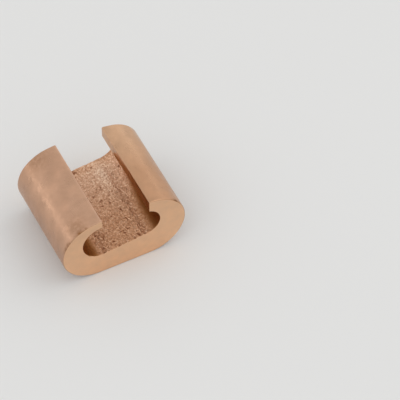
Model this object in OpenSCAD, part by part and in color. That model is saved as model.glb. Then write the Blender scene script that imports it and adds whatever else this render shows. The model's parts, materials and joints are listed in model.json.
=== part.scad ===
/* [Conductors] */
// Diameter of the run conductor over its strands
run_d = 7.42; // [5:0.01:9]
// Diameter of the tap conductor over its strands
tap_d = 5.89; // [4:0.01:8]
// Room round each conductor in its groove, on the radius
groove_clearance = 0.2; // [0.05:0.05:0.5]

/* [Body] */
// Length of the connector along the conductors
body_l = 20.2; // [10:0.1:40]
// Wall between the run groove and its side
run_wall = 4.1; // [2.5:0.1:6]
// Wall between the tap groove and its side
tap_wall = 5.2; // [2.5:0.1:7]
// Gap between the facing sides of the two grooves
groove_gap = 1.6; // [0.5:0.1:4]
// Floor below the run groove, at its thinnest
run_floor = 5.2; // [3:0.05:7]
// Floor below the tap groove, at its thinnest
tap_floor = 6.15; // [4:0.05:7]
// How far the flat between the grooves stands above a line touching both from below
flat_raise = 0.02; // [0.01:0.01:0.2]
// Run lip above its groove, at its thinnest
run_lip = 1.85; // [1.2:0.05:3]

/* [Mouth] */
// How far the run lip reaches past the axis of its groove
run_lip_past = 0.2; // [-1.5:0.05:0.3]
// How far the tap lip stops short of the axis of its groove
tap_lip_short = 1.0; // [0:0.05:1.5]
// Rounding on the outer edge of both lips
outer_round = 0.3; // [0.1:0.05:0.6]
// Rounding on the inner edge of both lips
inner_round = 0.2; // [0.1:0.05:0.3]

/* [Sawn ends] */
// Break on the sawn edges round the outside
outer_break = 0.2; // [0.05:0.05:0.4]
// Break on the sawn edges round the hollow
hollow_break = 0.05; // [0.05:0.05:0.4]

/* [Hidden] */
$fn = 128;
// How far a cut runs past the face that it opens
past = 1;
// How far the circle of a rounding passes the walls it blends into, so that they cross cleanly
blend_past = 0.002;

// The grooves take the conductors with their clearance
run_r = run_d / 2 + groove_clearance;
tap_r = tap_d / 2 + groove_clearance;

// The outside is a flat oval: a flat back, and two sides that are each half a round bar
body_w = run_wall + 2 * run_r + groove_gap + 2 * tap_r + tap_wall;
body_h = run_floor + 2 * run_r + run_lip;
side_r = body_h / 2;
side_x = body_w / 2 - side_r;

// Where the groove axes pass through the section, in width and height
run_axis = [run_wall + run_r - body_w / 2, run_floor + run_r];
tap_axis = [body_w / 2 - tap_wall - tap_r, tap_floor + tap_r];

// The mouth lies between the tips of the two lips, and reaches down to the lower axis
run_tip_x = run_axis.x + run_lip_past;
tap_tip_x = tap_axis.x + tap_lip_short;
mouth_z = min(run_axis.y, tap_axis.y);
mouth_h = body_h - mouth_z + past;

// Direction from a groove's axis to where the line below both grooves touches it
axis_span = tap_axis - run_axis;
span_l = norm(axis_span);
lean = (run_r - tap_r) / span_l;
to_flat = (lean * axis_span + sqrt(1 - pow(lean, 2)) * [axis_span.y, -axis_span.x]) / span_l;

// The two ends of the flat, each below its groove's axis
flat_run_end = run_axis + (run_r - flat_raise) * to_flat;
flat_tap_end = tap_axis + (tap_r - flat_raise) * to_flat;

// Half the bar's outline, as [distance from the bar's middle plane, place along the bar]
bar_edge = [
    [side_r - outer_break, -body_l / 2],
    [side_r, outer_break - body_l / 2],
    [side_r, body_l / 2 - outer_break],
    [side_r - outer_break, body_l / 2]
];

// A section drawn in width and height, carried along the conductors past both ends
module through_cut() {
    rotate([90, 0, 0])
        linear_extrude(height = body_l + 2 * past, center = true)
            children();
}

// The middle of the bar, flat below and above
module bar_middle() {
    above = [for (point = bar_edge) [point.y, side_r + point.x]];
    below = [for (i = [len(bar_edge) - 1 : -1 : 0]) [bar_edge[i].y, side_r - bar_edge[i].x]];
    rotate([90, 0, 90])
        linear_extrude(height = 2 * side_x, center = true)
            polygon(concat(above, below));
}

// One round side of the bar, half a turn about the middle of its height
module bar_side(side) {
    axis_points = [[0, body_l / 2], [0, -body_l / 2]];
    translate([side * side_x, 0, side_r])
        rotate([90, 0, 0])
            rotate([0, 0, -90 * side])
                rotate_extrude(angle = 180)
                    polygon(concat(bar_edge, axis_points));
}

// The drawn bar that the connector is sawn from, before it is opened
module bar() {
    bar_middle();
    for (side = [-1, 1])
        bar_side(side);
}

// The hollow in section: two grooves, the flat between them and the mouth above
module hollow_section() {
    translate(run_axis)
        circle(r = run_r);
    translate(tap_axis)
        circle(r = tap_r);
    polygon([run_axis, flat_run_end, flat_tap_end, tap_axis]);
    translate([run_tip_x, mouth_z])
        square([tap_tip_x - run_tip_x, mouth_h]);
}

// What comes off one edge of a lip to round it, from the mouth to a round wall.
// The lip lies inside that wall where within is 1, and outside it where within is -1.
module lip_rounding(tip_x, side, radius, wall_center, wall_r, within) {
    inset = radius - blend_past;
    center_x = tip_x + side * inset;
    center_z = wall_center.y + sqrt(pow(wall_r - within * inset, 2) - pow(center_x - wall_center.x, 2));
    center = [center_x, center_z];
    outward = (center - wall_center) / norm(center - wall_center);
    touch = wall_center + wall_r * outward;
    beyond = touch + within * past * outward;
    difference() {
        polygon([
            center,
            touch,
            beyond,
            [tip_x - side * past, beyond.y],
            [tip_x - side * past, center.y]
        ]);
        translate(center)
            circle(r = radius);
    }
}

// Both edges of one lip
module lip_roundings(tip_x, side, groove_axis, groove_r) {
    outer_center = [side * min(side * tip_x + outer_round, side_x), side_r];
    lip_rounding(tip_x, side, outer_round, outer_center, side_r, 1);
    lip_rounding(tip_x, side, inner_round, groove_axis, groove_r, -1);
}

// A slanted cut round a groove's edge at one end
module round_break(groove_axis, groove_r) {
    inside_r = groove_r - past;
    outside_r = groove_r + hollow_break + past;
    translate([groove_axis.x, -past, groove_axis.y])
        rotate([-90, 0, 0])
            cylinder(h = outside_r - inside_r, r1 = inside_r, r2 = outside_r);
}

// A slanted cut along a straight edge of the hollow at one end, with the metal on its normal's side
module straight_break(start, normal, length) {
    translate([start.x, 0, start.y])
        rotate([0, atan2(-normal.y, normal.x), 0])
            linear_extrude(height = length)
                polygon([
                    [-past, -past],
                    [hollow_break + past, hollow_break + past],
                    [-past, hollow_break + past]
                ]);
}

// The breaks round the hollow at both ends
module hollow_breaks() {
    for (flip = [0, 1])
        mirror([0, flip, 0])
            translate([0, body_l / 2 - hollow_break, 0]) {
                round_break(run_axis, run_r);
                round_break(tap_axis, tap_r);
                straight_break(flat_run_end, to_flat, norm(flat_tap_end - flat_run_end));
                straight_break([run_tip_x, mouth_z + mouth_h], [-1, 0], mouth_h);
                straight_break([tap_tip_x, mouth_z], [1, 0], mouth_h);
            }
}

// The connector: one piece of drawn copper bar, open along its top
module connector_body() {
    color("#c69c7b")
        difference() {
            bar();
            through_cut()
                hollow_section();
            through_cut()
                lip_roundings(run_tip_x, -1, run_axis, run_r);
            through_cut()
                lip_roundings(tap_tip_x, 1, tap_axis, tap_r);
            hollow_breaks();
        }
}

connector_body();
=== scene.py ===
import json
import math

import bpy
import numpy as np
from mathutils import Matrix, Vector, noise


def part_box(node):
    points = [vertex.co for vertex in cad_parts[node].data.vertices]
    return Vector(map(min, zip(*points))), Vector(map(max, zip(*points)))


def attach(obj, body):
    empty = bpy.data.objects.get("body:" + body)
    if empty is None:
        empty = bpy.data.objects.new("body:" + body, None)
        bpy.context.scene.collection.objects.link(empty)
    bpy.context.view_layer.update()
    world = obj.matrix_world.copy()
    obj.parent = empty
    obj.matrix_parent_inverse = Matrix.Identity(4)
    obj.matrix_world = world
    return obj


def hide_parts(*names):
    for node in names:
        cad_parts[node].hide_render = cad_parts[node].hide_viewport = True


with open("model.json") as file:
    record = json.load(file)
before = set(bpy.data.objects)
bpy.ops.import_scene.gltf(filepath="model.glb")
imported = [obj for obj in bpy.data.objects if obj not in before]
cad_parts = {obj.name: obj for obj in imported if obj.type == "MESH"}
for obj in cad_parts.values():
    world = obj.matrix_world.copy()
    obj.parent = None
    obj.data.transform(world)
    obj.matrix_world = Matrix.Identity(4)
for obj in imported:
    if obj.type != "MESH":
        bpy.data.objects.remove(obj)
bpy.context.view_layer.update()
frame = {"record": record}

MM = 0.001
NODE = "connector_body"

# Lips and edges of the section, as in the part's source
RUN_LIP_PAST = 0.2 * MM
TAP_LIP_SHORT = 1.0 * MM
OUTER_ROUND = 0.3 * MM
INNER_ROUND = 0.2 * MM
FLAT_RAISE = 0.02 * MM
OUTER_BREAK = 0.2 * MM
HOLLOW_BREAK = 0.05 * MM

# Spacing of the mesh on the outside, on the lips' ends and in the hollow
SKIN_STEP = 0.42 * MM
TIP_STEP = 0.14 * MM
GRAIN_STEP = 0.105 * MM

# Regions of the outline: round skin and back, the lips' ends, the hollow, and the run lip's outer edge,
# rougher and with a painted highlight
SKIN, TIP, HOLLOW, WORN_AND_LIT = range(4)
# A lip's end is a wall of the mouth where its normal lies this far across
WALL_NORMAL = 0.8
# Where the girth is counted from, as an angle on the run side
GIRTH_START = 137.5

# Materials of the faces, in the order that the connector is given them
DRAWN, SAWN, GRAINED, SHADE_PAINTED = range(4)

# Sawn edges: how uneven they are outside, as a share of the break, and how deep they are chipped inside
EDGE_UNEVEN = 0.5
UNEVEN_SIZE = 0.9 * MM
CHIP_DEPTH = 0.45 * MM
CHIP_SIZE = 0.5 * MM
# How far up the normal points where the chips begin, and where they are deepest
CHIP_NORMAL = (0.3, 0.95)
# Turns of the rings that round an edge, in degrees, and the flat ring of the face inside them
EDGE_TURNS = (0, 22.5, 45, 67.5, 90)
FACE_RING = 0.03 * MM
# Rings of faces at each end that count as sawn
SAWN_RINGS = 2

# Grain of the hollow, and the share of it that is missing where shade is painted
GRAIN_SIZE = 0.40 * MM
GRAIN_DEPTH = 0.08 * MM
SHADE_SMOOTH = 0.7
# Offsets that keep the grain's noises apart
FINE_OFFSET = Vector((7.3, 1.9, 4.4))
PIT_OFFSET = Vector((2.6, 8.1, 5.7))

# Painted shade covers the hollow where it sees the mouth at the first angle or less, and is gone from the
# second
SHADED_VIEW = 45.5
UNSHADED_VIEW = 52.5
# The angle that points outside the hollow are given
OPEN_VIEW = 90
# What the angle gains with the cube of the millimetres from the near end, so that the painted shade thins
# towards the far end
VIEW_GAIN = 0.0022
# How far the tap groove's angle is from the first one counts for this share
TAP_SHARE = 0.65

# The foot of the mouth's walls has painted shade up to the first distance from the near end, in
# millimetres, and it fades towards the second. Both come nearer by the lean for each millimetre up a wall.
WALL_SHADED = 14.6
WALL_UNSHADED = 22.6
WALL_LEAN = 4.0
# Between these distances, what is left of that painted shade ends
SHADE_ENDS = 14.5
SHADE_ENDED = 15.8

# Darker patches by the sawn edges: centre, how far each runs along the edge and in from it, in
# millimetres, and its strength
EDGE_PATCHES = [
    ((-8.8, -7.7, 13.9), 3.4, 7.0, 0.45),
    ((-8.8, 8.6, 13.9), 4.5, 6.5, 0.38),
    ((-8.6, -10.1, 14.0), 3.2, 2.4, 0.6),
    ((-8.6, -10.1, 14.0), 2.6, 1.1, 1.0),
    ((-11.3, -10.1, 11.5), 3.0, 1.0, 0.8),
    ((10.7, -10.1, 12.3), 2.0, 0.9, 1.0),
]

# Colours of the skin, as linear red, green and blue, where it is dark and where it is light
PINK_SKIN = (0.57, 0.338, 0.22), (0.69, 0.413, 0.271)
GOLD_SKIN = (0.57, 0.32, 0.185), (0.64, 0.362, 0.21)
SHEEN_SKIN = (0.63, 0.39, 0.24), (0.74, 0.462, 0.285)
# Where it turns golden across the bar and takes a painted sheen along it, and where painted shade darkens
# it downwards, in millimetres
GOLD_X = (-6, 6)
SHEEN_Y = (-2, 8)
LOW_SHADE_Z = (9.5, 12.5)
# Painted shade on the lower skin, and the most of it that is mixed in
LOW_SHADE_SKIN = (0.42, 0.26, 0.19)
LOW_SHADE_SHARE = 0.35
# Darker colour of the patches by the sawn edges, and the colour of the painted shade in the hollow and on
# the mouth's walls
EDGE_PATCH_COLOR = (0.24, 0.095, 0.022)
SHADE_BROWN = (0.335, 0.138, 0.041)
# Painted highlight on the run lip's outer edge, and the most of it that is mixed in
EDGE_HIGHLIGHT = (0.85, 0.58, 0.43)
EDGE_HIGHLIGHT_SHARE = 0.4

# Depths of the skin's lines, waves and dents, and the factor that draws the lines out along the bar
LINE_DEPTH = 0.005 * MM
WAVE_DEPTH = 0.08 * MM
DENT_DEPTH = 0.014 * MM
LINE_STRETCH = 0.03

# Colours of the mouth's walls, without painted shade and under it
UNSHADED_WALL = (0.60, 0.35, 0.21), (0.66, 0.39, 0.235)
SHADED_WALL = (0.30, 0.122, 0.035), (0.36, 0.15, 0.046)

# Colours of the sawn ends, and the heights in millimetres between which painted shade darkens them, by
# what share
FRESH_METAL = (0.82, 0.525, 0.33), (0.91, 0.582, 0.36)
SAWN_SHADE = (0.45, 0.27, 0.16)
SAWN_SHADE_Z = (2, 13)
SAWN_SHADE_SHARE = 0.2
# The saw's marks: how much each axis is stretched, and their depth
MARK_STRETCH = (0.15, 1, 1)
MARK_DEPTH = 0.008 * MM

# Colours of the grain in its pits, halfway and on its tops, near and far: darker in the pits as painted
# shade, and paler far as painted light
GRAIN_NEAR = (0.26, 0.085, 0.033), (0.68, 0.365, 0.205), (1.0, 0.65, 0.42)
GRAIN_FAR = (0.35, 0.165, 0.09), (0.72, 0.43, 0.28), (1.0, 0.72, 0.53)
# Relief that counts as a pit and as a top
RELIEF_RANGE = (-0.8, 0.7)
# Where near turns into far along the bar, and where the far rim turns back, to what share of far, as
# painted light from the far end
FAR_Y = (-5, 6)
RIM_Y = (7.5, 9.5)
RIM_SHARE = 0.45
# Brighter tops beside the tap groove: their colour near and far, their place across, and their reach
LIT_NEAR = (1.0, 0.60, 0.36)
LIT_FAR = (1.0, 0.77, 0.58)
LIT_X = 3.2
LIT_REACH = 2.0
# Bright specks of the grain, thickened as painted glints where light falls: their colour, where they
# thicken along the bar, their place across, and their reach
GLINT_SPECK = (1.0, 0.70, 0.49)
GLINT_Y = (0, 7)
GLINT_X = 3.0
GLINT_REACH = 4.0
# Depth of the finest grain
FINE_DEPTH = 0.05 * MM

# The values that most of a noise lies between
NOISE_RANGE = (0.3, 0.7)

# The camera stands where the photograph was taken from
CAMERA_PLACE = (-124.06 * MM, -286.5 * MM, 402.2 * MM)
CAMERA_AZIMUTH = -26.8
CAMERA_ELEVATION = 51.72
CAMERA_LENS = 243.0

# The floor's half width, how far it lies under the connector, and its colour
FLOOR_HALF = 2.0
FLOOR_DROP = 0.01 * MM
FLOOR_COLOR = (0.82, 0.82, 0.81)
# Brightness of the white surround
WORLD_LIGHT = 0.75


# Section

def unit(degrees):
    return np.array([math.cos(math.radians(degrees)), math.sin(math.radians(degrees))])


def direction(start, end):
    """Angle of the ray from one point to another, in degrees."""
    return math.degrees(math.atan2(end[1] - start[1], end[0] - start[0]))


def arc(center, radius, start, end, step, region):
    """Points, normals out of the metal and region along an arc. An arc run backwards is a hollow one."""
    count = max(3, round(abs(math.radians(end - start)) * radius / step))
    angles = np.radians(np.linspace(start, end, count, endpoint=False))
    rays = np.stack([np.cos(angles), np.sin(angles)], axis=1)
    return np.asarray(center) + radius * rays, rays * np.sign(end - start), np.full(count, region)


def line(start, end, step, region):
    """The same along a straight stretch, with the metal on its left."""
    start, end = np.asarray(start), np.asarray(end)
    length = np.linalg.norm(end - start)
    count = max(2, round(length / step))
    along = (end - start) / length
    points = start + np.linspace(0, 1, count, endpoint=False)[:, None] * (end - start)
    return points, np.tile([along[1], -along[0]], (count, 1)), np.full(count, region)


def groove(name):
    """Axis in width and height, and radius, of a groove, from the mount of that name in the record."""
    mount = next(mount for mount in frame["record"]["mounts"] if mount["name"] == name)
    return np.array(mount["pos_m"])[[0, 2]], mount["dims"]["r_mm"] * MM


def flat_ends(run_axis, run_r, tap_axis, tap_r):
    """Angles on the two grooves where the flat between them crosses each."""
    span = np.linalg.norm(tap_axis - run_axis)
    lean = math.degrees(math.asin((run_r - tap_r) / span))
    foot = direction(run_axis, tap_axis) + lean - 90
    run_foot = foot + math.degrees(math.acos(1 - FLAT_RAISE / run_r))
    tap_foot = foot - math.degrees(math.acos(1 - FLAT_RAISE / tap_r))
    return run_foot, tap_foot


def lip_circle(tip_x, side, radius, wall_center, reach):
    """Centre of the circle that rounds a lip's edge.

    It touches the mouth, and lies at its reach from the centre of a round wall.
    """
    x = tip_x + side * radius
    return np.array([x, wall_center[1] + math.sqrt(reach ** 2 - (x - wall_center[0]) ** 2)])


def mouth_view(points, region, mouth):
    """Angle in degrees at which each point of the hollow counts as seeing the mouth, evened out."""
    run_ray, tap_ray = [np.arctan2(*(edge - points).T[::-1]) for edge in mouth]
    view = np.degrees(run_ray - tap_ray)
    view = np.where(points[:, 0] > 0, SHADED_VIEW + TAP_SHARE * (view - SHADED_VIEW), view)
    view[region != HOLLOW] = OPEN_VIEW
    return smooth_round(view, rounds=3)


def outline():
    """The closed outline in width and height, with the metal on its left.

    Gives its stretches before the start of the girth, those after it, and the mouth's inner corners.
    """
    low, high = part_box(NODE)
    side_r = (high.z - low.z) / 2
    side_x = (high.x - low.x) / 2 - side_r
    run_side, tap_side = np.array([-side_x, side_r]), np.array([side_x, side_r])
    run_axis, run_r = groove("run_groove")
    tap_axis, tap_r = groove("tap_groove")
    run_foot, tap_foot = flat_ends(run_axis, run_r, tap_axis, tap_r)

    # The run lip's outer edge ends the flat top, and the tap lip's cuts into its round side
    run_tip_x = run_axis[0] + RUN_LIP_PAST
    tap_tip_x = tap_axis[0] + TAP_LIP_SHORT
    run_outer = np.array([run_tip_x - OUTER_ROUND, high.z - OUTER_ROUND])
    tap_outer = lip_circle(tap_tip_x, 1, OUTER_ROUND, tap_side, side_r - OUTER_ROUND)
    run_inner = lip_circle(run_tip_x, -1, INNER_ROUND, run_axis, run_r + INNER_ROUND)
    tap_inner = lip_circle(tap_tip_x, 1, INNER_ROUND, tap_axis, tap_r + INNER_ROUND)
    tap_top = direction(tap_side, tap_outer)
    run_corner, tap_corner = run_inner + (INNER_ROUND, 0), tap_inner - (INNER_ROUND, 0)

    before = [
        line(tap_axis + tap_r * unit(tap_foot), run_axis + run_r * unit(run_foot), GRAIN_STEP, HOLLOW),
        arc(run_axis, run_r, run_foot + 360, direction(run_axis, run_inner), GRAIN_STEP, HOLLOW),
        arc(run_inner, INNER_ROUND, direction(run_inner, run_axis), 0, TIP_STEP / 2, TIP),
        line(run_corner, run_outer + (OUTER_ROUND, 0), TIP_STEP, TIP),
        arc(run_outer, OUTER_ROUND, 0, 90, TIP_STEP / 2, WORN_AND_LIT),
        line(run_outer + (0, OUTER_ROUND), (-side_x, high.z), TIP_STEP, TIP),
        arc(run_side, side_r, 90, GIRTH_START, SKIN_STEP, SKIN),
    ]
    after = [
        arc(run_side, side_r, GIRTH_START, 270, SKIN_STEP, SKIN),
        line((-side_x, 0), (side_x, 0), 2 * SKIN_STEP, SKIN),
        arc(tap_side, side_r, -90, tap_top, SKIN_STEP, SKIN),
        arc(tap_outer, OUTER_ROUND, tap_top, 180, TIP_STEP / 2, TIP),
        line(tap_outer - (OUTER_ROUND, 0), tap_corner, TIP_STEP, TIP),
        arc(tap_inner, INNER_ROUND, 180, direction(tap_inner, tap_axis) + 360, TIP_STEP / 2, TIP),
        arc(tap_axis, tap_r, direction(tap_axis, tap_inner), tap_foot, GRAIN_STEP, HOLLOW),
    ]
    return before, after, (run_corner, tap_corner)


def section():
    """Points, normals, regions and girth of the outline, and the angle at which it sees the mouth."""
    before, after, mouth = outline()
    points, normals, region = [np.concatenate(parts) for parts in zip(*before, *after)]
    steps = np.linalg.norm(np.diff(points, axis=0), axis=1)
    girth = np.concatenate([[0], np.cumsum(steps)])
    start = sum(len(stretch[0]) for stretch in before)
    return points, normals, region, girth - girth[start], mouth_view(points, region, mouth)


# Mesh

def smooth_round(values, rounds):
    """Evens out values along the closed outline."""
    for _ in range(rounds):
        values = (np.roll(values, 1) + values + np.roll(values, -1)) / 3
    return values


def ramp(value, start, end):
    """From 0 at start to 1 at end, eased at both."""
    t = np.clip((value - start) / (end - start), 0, 1)
    return t * t * (3 - 2 * t)


def sawn_edge(points, normals, region, end):
    """How far in, and how far along, each ring lies that rounds the edges of an end.

    The edges are uneven outside and chipped along the floor.
    """
    uneven = np.array([noise.noise(Vector((x, end, z)) / UNEVEN_SIZE) for x, z in points])
    chips = np.array([noise.noise(Vector((x, end, z)) / CHIP_SIZE) for x, z in points])
    outside = OUTER_BREAK * (1 + EDGE_UNEVEN * uneven)
    inside = HOLLOW_BREAK + CHIP_DEPTH * np.clip(chips, 0, None) * ramp(normals[:, 1], *CHIP_NORMAL)
    edge = np.where(region == SKIN, outside, np.where(region == HOLLOW, inside, HOLLOW_BREAK))
    edge = smooth_round(edge, rounds=3)
    turns = np.radians(EDGE_TURNS)[:, None]
    way_in = np.concatenate([[edge + FACE_RING], edge * (1 - np.sin(turns))])
    way_along = np.concatenate([[0 * edge], edge * (1 - np.cos(turns))])
    return way_in, way_along


def rings(points, normals, region, length):
    """Places of the outline's points along the connector, as rings by points by xyz, with rounded ends."""
    margin = (1 + EDGE_UNEVEN) * OUTER_BREAK + GRAIN_STEP
    count = round((length - 2 * margin) / GRAIN_STEP)
    middle_y = np.repeat(np.linspace(margin, length - margin, count)[:, None], len(points), axis=1)
    near_in, near_y = sawn_edge(points, normals, region, 0)
    far_in, far_y = sawn_edge(points, normals, region, length)
    along = np.concatenate([near_y, middle_y, length - far_y[::-1]]) - length / 2
    inset = np.concatenate([near_in, 0 * middle_y, far_in[::-1]])
    flat = points[None] - inset[..., None] * normals[None]
    return np.stack([flat[..., 0], along, flat[..., 1]], axis=2)


def paint_shade(places, normals, region, view):
    """How much shade is painted on each place, from 0 to 1, and which columns of places make the mouth's
    walls.
    """
    near_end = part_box(NODE)[0].y
    from_near = (places[..., 1] - near_end) / MM
    # Painted shade where the hollow sees little of the mouth, thinning towards the far end
    brown = ramp(view + VIEW_GAIN * from_near ** 3, UNSHADED_VIEW, SHADED_VIEW)
    wall = (region == TIP) & (np.abs(normals[:, 0]) > WALL_NORMAL)
    above = (places[:, wall, 2] - places[:, wall, 2].min()) / MM
    brown[:, wall] = ramp(from_near[:, wall] + WALL_LEAN * above, WALL_UNSHADED, WALL_SHADED)
    brown[:, wall] *= ramp(from_near[:, wall], SHADE_ENDED, SHADE_ENDS)
    return brown, wall


def grain(place):
    """Height of the grainy surface at a place, about -1 to 1: crumbs, coarse and fine waves, and pits."""
    p = Vector(place) / GRAIN_SIZE
    crumb = max(0, 1 - 5 * noise.voronoi(p)[0][0] ** 2)
    coarse = noise.noise(p * 0.8)
    fine = noise.noise(p * 2.1 + FINE_OFFSET)
    pit = max(0, noise.noise(p * 0.7 + PIT_OFFSET) - 0.3)
    return 0.7 * crumb + 0.25 * coarse + 0.45 * fine - 1.5 * pit - 0.2


def add_relief(places, normals, region, brown):
    """Roughens the hollow, less by the lips and where shade is painted, and gives the relief of each
    place.
    """
    in_hollow = smooth_round((region == HOLLOW).astype(float), rounds=6)
    rough = ramp(in_hollow, 0.4, 1) * (1 - SHADE_SMOOTH * brown)
    relief = np.zeros(places.shape[:2])
    for column in np.nonzero(rough.any(axis=0))[0]:
        for ring in range(1, len(places) - 1):
            relief[ring, column] = rough[ring, column] * grain(places[ring, column])
    # The rim of each sawn face moves with the edge beside it
    relief[0], relief[-1] = relief[1], relief[-2]
    shift = GRAIN_DEPTH * relief
    places[..., 0] += shift * normals[:, 0]
    places[..., 2] += shift * normals[:, 1]
    return relief


def face_materials(region, wall, brown):
    """Material of each face: the two sawn faces, then the rings of faces between them."""
    kinds = np.where(region == HOLLOW, GRAINED, DRAWN)[None].repeat(len(brown) - 1, axis=0)
    # Walls mostly under painted shade get their own material
    kinds[wall & (brown[:-1] > 0.5)] = SHADE_PAINTED
    kinds[:SAWN_RINGS] = SAWN
    kinds[-SAWN_RINGS:] = SAWN
    return np.concatenate([[SAWN, SAWN], kinds.ravel()]).astype(np.int32)


def add_attribute(mesh, name, values):
    data = mesh.attributes.new(name, "FLOAT", "POINT").data
    data.foreach_set("value", np.asarray(values, dtype=np.float32).ravel())


def connector_mesh(materials):
    """The whole connector as one closed mesh: a face at each sawn end, and rings of faces between them."""
    points, normals, region, girth, view = section()
    low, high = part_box(NODE)
    places = rings(points, normals, region, high.y - low.y)
    brown, wall = paint_shade(places, normals, region, view)
    relief = add_relief(places, normals, region, brown)
    ring_count, column_count = places.shape[:2]

    index = np.arange(ring_count * column_count).reshape(ring_count, column_count)
    after = np.roll(index, -1, axis=1)
    quads = np.stack([index[:-1], index[1:], after[1:], after[:-1]], axis=2).reshape(-1, 4)
    faces = [index[0].tolist(), index[-1][::-1].tolist()] + quads.tolist()

    mesh = bpy.data.meshes.new("c_tap_connector")
    mesh.from_pydata(places.reshape(-1, 3).tolist(), [], faces)
    for material in materials:
        mesh.materials.append(material)
    mesh.polygons.foreach_set("material_index", face_materials(region, wall, brown))
    mesh.polygons.foreach_set("use_smooth", np.ones(len(faces), dtype=bool))
    worn = smooth_round((region == WORN_AND_LIT).astype(float), rounds=4)
    add_attribute(mesh, "relief", relief)
    add_attribute(mesh, "girth", np.tile(girth / MM, (ring_count, 1)))
    add_attribute(mesh, "brown", brown)
    add_attribute(mesh, "worn", np.tile(worn, (ring_count, 1)))
    mesh.update()
    body = bpy.data.objects.new("c_tap_connector", mesh)
    bpy.context.scene.collection.objects.link(body)
    return body


# Materials

def feed(tree, socket, value):
    """Links another node's socket to this one, or sets it to a value. A colour is red, green and blue."""
    if isinstance(value, bpy.types.NodeSocket):
        tree.links.new(value, socket)
    elif socket.type == "RGBA":
        socket.default_value = (*value, 1)
    else:
        socket.default_value = value


def set_inputs(tree, made, **inputs):
    """Feeds a node's inputs by name, with _ for each space."""
    for name, value in inputs.items():
        feed(tree, made.inputs[name.replace("_", " ")], value)


def node(tree, kind, settings=None, **inputs):
    """Adds a shader node with its settings and inputs."""
    made = tree.nodes.new("ShaderNode" + kind)
    for name, value in (settings or {}).items():
        setattr(made, name, value)
    set_inputs(tree, made, **inputs)
    return made


def math_node(tree, operation, a, b=0.0):
    made = node(tree, "Math", {"operation": operation})
    feed(tree, made.inputs[0], a)
    feed(tree, made.inputs[1], b)
    return made.outputs["Value"]


def product(tree, a, b):
    return math_node(tree, "MULTIPLY", a, b)


def apart(tree, value, center):
    """How far a value is from a centre, on either side."""
    return math_node(tree, "ABSOLUTE", math_node(tree, "SUBTRACT", value, center))


def between(tree, factor, low, high, source=NOISE_RANGE):
    """A factor carried from its source range to low and high."""
    start, end = source
    made = node(tree, "MapRange", Value=factor, From_Min=start, From_Max=end, To_Min=low, To_Max=high)
    return made.outputs["Result"]


def fade(tree, way, reach):
    """1 where the way is 0, and 0 from the reach on, eased at both."""
    made = node(tree, "MapRange", {"interpolation_type": "SMOOTHSTEP"},
                Value=way, From_Max=reach, To_Min=1.0, To_Max=0.0)
    return made.outputs["Result"]


def attribute(tree, name):
    return node(tree, "Attribute", {"attribute_name": name}).outputs["Fac"]


def millimetres(tree, stretch=(1, 1, 1)):
    """Object coordinates in millimetres, each stretched by its factor."""
    place = node(tree, "TexCoord").outputs["Object"]
    scale = tuple(factor / MM for factor in stretch)
    return node(tree, "Mapping", Vector=place, Scale=scale).outputs["Vector"]


def noise_at(tree, place, scale, detail=3.0, roughness=0.5):
    made = node(tree, "TexNoise", Vector=place, Scale=scale, Detail=detail, Roughness=roughness)
    return made.outputs["Fac"]


def bump(tree, height, depth, under=None):
    """A normal bent by a height of 0 to 1 that stands for a depth in metres, over another bump or none."""
    made = node(tree, "Bump", Height=height, Distance=depth, Strength=1.0)
    if under:
        feed(tree, made.inputs["Normal"], under)
    return made.outputs["Normal"]


def tones(tree, factor, *stops):
    """Colours along a factor, as (place, colour) stops."""
    made = node(tree, "ValToRGB", Fac=factor)
    elements = made.color_ramp.elements
    while len(elements) < len(stops):
        elements.new(0.5)
    for element, (place, color) in zip(elements, stops):
        element.position = place
        element.color = (*color, 1)
    return made.outputs["Color"]


def patchy(tree, patches, dark, light):
    """A dark and a light colour by the values of a noise."""
    low, high = NOISE_RANGE
    return tones(tree, patches, (low, dark), (high, light))


def mixed(tree, factor, first, second):
    """Two colours mixed, each a colour or a socket."""
    return node(tree, "MixRGB", Fac=factor, Color1=first, Color2=second).outputs["Color"]


def new_metal(name):
    """A metal material, its tree, its shader, and the places on it in millimetres."""
    material = bpy.data.materials.new(name)
    material.use_nodes = True
    tree = material.node_tree
    shader = tree.nodes["Principled BSDF"]
    set_inputs(tree, shader, Metallic=1.0)
    return material, tree, shader, millimetres(tree)


def darker_edges(tree, place):
    """1 where a sawn edge is darkest, fading along the edge and in from it, and patchy."""
    far_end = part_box(NODE)[1].y
    y = node(tree, "SeparateXYZ", Vector=place).outputs["Y"]
    way_in = math_node(tree, "SUBTRACT", far_end / MM, math_node(tree, "ABSOLUTE", y))
    darkened = 0.0
    for center, along, reach, strength in EDGE_PATCHES:
        to_center = node(tree, "VectorMath", {"operation": "DISTANCE"}, Vector=place)
        feed(tree, to_center.inputs[1], center)
        spot = product(tree, fade(tree, to_center.outputs["Value"], along), fade(tree, way_in, reach))
        darkened = math_node(tree, "MAXIMUM", product(tree, spot, strength), darkened)
    patches = noise_at(tree, place, scale=1.5, detail=2.0)
    return product(tree, darkened, between(tree, patches, low=0.35, high=1.0, source=(0.38, 0.58)))


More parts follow.
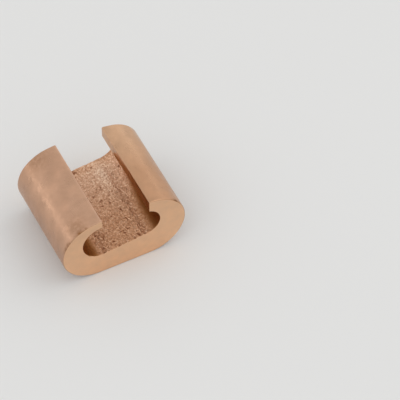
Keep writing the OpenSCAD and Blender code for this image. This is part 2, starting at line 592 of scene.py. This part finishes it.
def skin_color(tree, place):
    """Pink on the run side and golden on the tap side, with a painted sheen far on the tap side, painted
    shade lower down, darker patches by the sawn edges, painted shade on the mouth's walls and a painted
    highlight on the run lip's edge.
    """
    axes = node(tree, "SeparateXYZ", Vector=place).outputs
    patches = noise_at(tree, place, scale=0.35, detail=4.0, roughness=0.6)
    pink, gold, sheen = [patchy(tree, patches, *colors) for colors in (PINK_SKIN, GOLD_SKIN, SHEEN_SKIN)]
    # Painted sheen: paler skin towards the far end of the tap side
    gold = mixed(tree, between(tree, axes["Y"], 0, 1, SHEEN_Y), gold, sheen)
    color = mixed(tree, between(tree, axes["X"], 0, 1, GOLD_X), pink, gold)
    # Painted shade: darker skin lower down
    color = mixed(tree, between(tree, axes["Z"], LOW_SHADE_SHARE, 0, LOW_SHADE_Z), color, LOW_SHADE_SKIN)
    # Darker patches by the sawn edges
    color = mixed(tree, darker_edges(tree, place), color, EDGE_PATCH_COLOR)
    # Painted shade on the mouth's walls
    color = mixed(tree, attribute(tree, "brown"), color, SHADE_BROWN)
    # Painted highlight on the run lip's outer edge
    return mixed(tree, product(tree, attribute(tree, "worn"), EDGE_HIGHLIGHT_SHARE), color, EDGE_HIGHLIGHT)


def skin_normal(tree, place):
    """Fine lines drawn along the bar, waves and small dents."""
    y = node(tree, "SeparateXYZ", Vector=place).outputs["Y"]
    drawn = node(tree, "CombineXYZ", X=attribute(tree, "girth"), Y=product(tree, y, LINE_STRETCH))
    lines = noise_at(tree, drawn.outputs["Vector"], scale=3.0, detail=5.0, roughness=0.65)
    waves = noise_at(tree, place, scale=0.7, detail=1.0)
    dents = noise_at(tree, place, scale=1.8, detail=1.0)
    lined = bump(tree, lines, LINE_DEPTH)
    wavy = bump(tree, waves, WAVE_DEPTH, lined)
    return bump(tree, dents, DENT_DEPTH, wavy)


def drawn_copper():
    """The drawn skin: satin and unevenly handled, under a thin gloss, and rougher where it is worn."""
    material, tree, shader, place = new_metal("drawn_copper")
    handling = noise_at(tree, place, scale=0.33, detail=4.0, roughness=0.7)
    handled = between(tree, handling, low=0.26, high=0.48, source=(0.35, 0.65))
    worn = product(tree, attribute(tree, "worn"), 0.2)
    set_inputs(
        tree, shader,
        Base_Color=skin_color(tree, place),
        Roughness=math_node(tree, "ADD", handled, worn),
        Normal=skin_normal(tree, place),
        Specular_Tint=(1.0, 0.97, 0.93),
        Coat_Weight=0.1,
        Coat_Roughness=0.25,
    )
    return material


def brown_copper():
    """The mouth's walls where painted shade mostly covers them: dark, faintly clouded and wavy."""
    material, tree, shader, place = new_metal("brown_copper")
    clouds = noise_at(tree, place, scale=0.8)
    unshaded, brown = [patchy(tree, clouds, *colors) for colors in (UNSHADED_WALL, SHADED_WALL)]
    waves = noise_at(tree, place, scale=0.7, detail=1.0)
    set_inputs(
        tree, shader,
        Base_Color=mixed(tree, attribute(tree, "brown"), unshaded, brown),
        Roughness=between(tree, clouds, low=0.26, high=0.36),
        Normal=bump(tree, waves, WAVE_DEPTH),
        Specular_Tint=(0.92, 0.76, 0.62),
    )
    return material


def sawn_copper():
    """The sawn ends: fresh, matt metal with fine marks, and painted shade a little darker towards the top.
    """
    material, tree, shader, place = new_metal("sawn_copper")
    patches = noise_at(tree, place, scale=0.5)
    z = node(tree, "SeparateXYZ", Vector=place).outputs["Z"]
    top_shade = between(tree, z, 0, SAWN_SHADE_SHARE, SAWN_SHADE_Z)
    marks = noise_at(tree, millimetres(tree, MARK_STRETCH), scale=9.0, roughness=0.6)
    set_inputs(
        tree, shader,
        # Painted shade, a little darker towards the top
        Base_Color=mixed(tree, top_shade, patchy(tree, patches, *FRESH_METAL), SAWN_SHADE),
        Roughness=between(tree, patches, low=0.44, high=0.52),
        Normal=bump(tree, marks, MARK_DEPTH),
    )
    return material


def glint_specks(tree, place, axes):
    """1 on the brightest specks, which thicken as painted glints towards the far end beside the tap
    groove.
    """
    specks = between(tree, noise_at(tree, place, scale=2.3, detail=1.0), 0, 1, (0.54, 0.68))
    along = between(tree, axes["Y"], 0, 1, GLINT_Y)
    across = fade(tree, apart(tree, axes["X"], GLINT_X), GLINT_REACH)
    shining = between(tree, product(tree, along, across), low=0.3, high=1.0, source=(0, 1))
    return product(tree, specks, shining)


def grain_color(tree, axes, glints):
    """Darker in the pits and near as painted shade, paler far as painted light, brighter on the tops
    beside the tap groove, with specks that carry painted glints.
    """
    height = between(tree, attribute(tree, "relief"), 0, 1, RELIEF_RANGE)
    near, far = [tones(tree, height, *zip((0.0, 0.5, 1.0), colors)) for colors in (GRAIN_NEAR, GRAIN_FAR)]
    rim = between(tree, axes["Y"], 1, RIM_SHARE, RIM_Y)
    to_far = product(tree, between(tree, axes["Y"], 0, 1, FAR_Y), rim)
    beside = fade(tree, apart(tree, axes["X"], LIT_X), LIT_REACH)
    strength = between(tree, to_far, low=0.4, high=0.9, source=(0, 1))
    tops = product(tree, product(tree, beside, height), strength)
    # Painted light: paler grain towards the far end
    color = mixed(tree, to_far, near, far)
    color = mixed(tree, tops, color, mixed(tree, to_far, LIT_NEAR, LIT_FAR))
    # Painted glints on the bright specks
    color = mixed(tree, glints, color, GLINT_SPECK)
    # Painted shade in the grooves under the lips
    return mixed(tree, attribute(tree, "brown"), color, SHADE_BROWN)


def grained_copper():
    """The inside of the hollow: coarse grain, matt but for its bright specks, which carry painted glints.
    """
    material, tree, shader, place = new_metal("grained_copper")
    axes = node(tree, "SeparateXYZ", Vector=place).outputs
    glints = glint_specks(tree, place, axes)
    fine = noise_at(tree, place, scale=6.0, roughness=0.6)
    matt = between(tree, glints, low=1.0, high=0.35, source=(0, 1))
    set_inputs(
        tree, shader,
        Base_Color=grain_color(tree, axes, glints),
        Roughness=product(tree, between(tree, fine, low=0.4, high=0.54), matt),
        Normal=bump(tree, fine, FINE_DEPTH),
        Specular_Tint=(1.0, 0.7, 0.5),
    )
    return material


# Studio

def add_camera():
    data = bpy.data.cameras.new("camera")
    data.lens = CAMERA_LENS
    camera = bpy.data.objects.new("camera", data)
    camera.location = CAMERA_PLACE
    camera.rotation_euler = (math.radians(90 - CAMERA_ELEVATION), 0, math.radians(CAMERA_AZIMUTH))
    bpy.context.scene.collection.objects.link(camera)
    bpy.context.scene.camera = camera


def add_lamp(name, azimuth, elevation, distance, size, brightness):
    """A soft rectangular lamp that looks at the connector. Azimuth 0 stands beyond it, along +Y."""
    data = bpy.data.lights.new(name, "AREA")
    data.shape = "RECTANGLE"
    data.size, data.size_y = size
    data.energy = brightness * math.pi * size[0] * size[1]
    lamp = bpy.data.objects.new(name, data)
    a, e = math.radians(azimuth), math.radians(elevation)
    toward = Vector((math.sin(a) * math.cos(e), math.cos(a) * math.cos(e), math.sin(e)))
    lamp.location = toward * distance
    lamp.rotation_euler = toward.to_track_quat("Z", "Y").to_euler()
    bpy.context.scene.collection.objects.link(lamp)


def add_floor():
    signs = (-1, -1), (1, -1), (1, 1), (-1, 1)
    corners = [(x * FLOOR_HALF, y * FLOOR_HALF, -FLOOR_DROP) for x, y in signs]
    mesh = bpy.data.meshes.new("floor")
    mesh.from_pydata(corners, [], [(0, 1, 2, 3)])
    material = bpy.data.materials.new("pale_floor")
    material.use_nodes = True
    tree = material.node_tree
    set_inputs(tree, tree.nodes["Principled BSDF"], Base_Color=FLOOR_COLOR, Roughness=0.9)
    mesh.materials.append(material)
    floor = bpy.data.objects.new("floor", mesh)
    bpy.context.scene.collection.objects.link(floor)


def light_world():
    world = bpy.data.worlds.new("studio")
    world.use_nodes = True
    tree = world.node_tree
    set_inputs(tree, tree.nodes["Background"], Color=(1, 1, 1), Strength=WORLD_LIGHT)
    bpy.context.scene.world = world


connector = connector_mesh([drawn_copper(), sawn_copper(), grained_copper(), brown_copper()])
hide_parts(NODE)
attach(connector, "root")

add_floor()
add_camera()
light_world()
add_lamp("right_softbox", azimuth=100, elevation=50, distance=0.8, size=(0.8, 0.6), brightness=0.58)
add_lamp("left_softbox", azimuth=-110, elevation=50, distance=0.8, size=(0.8, 0.6), brightness=0.42)
add_lamp("back_left_strip", azimuth=-55, elevation=10, distance=0.6, size=(0.5, 0.11), brightness=0.6)
add_lamp("back_right_strip", azimuth=60, elevation=16, distance=0.6, size=(0.5, 0.2), brightness=0.22)
bpy.context.scene.view_settings.view_transform = "Standard"
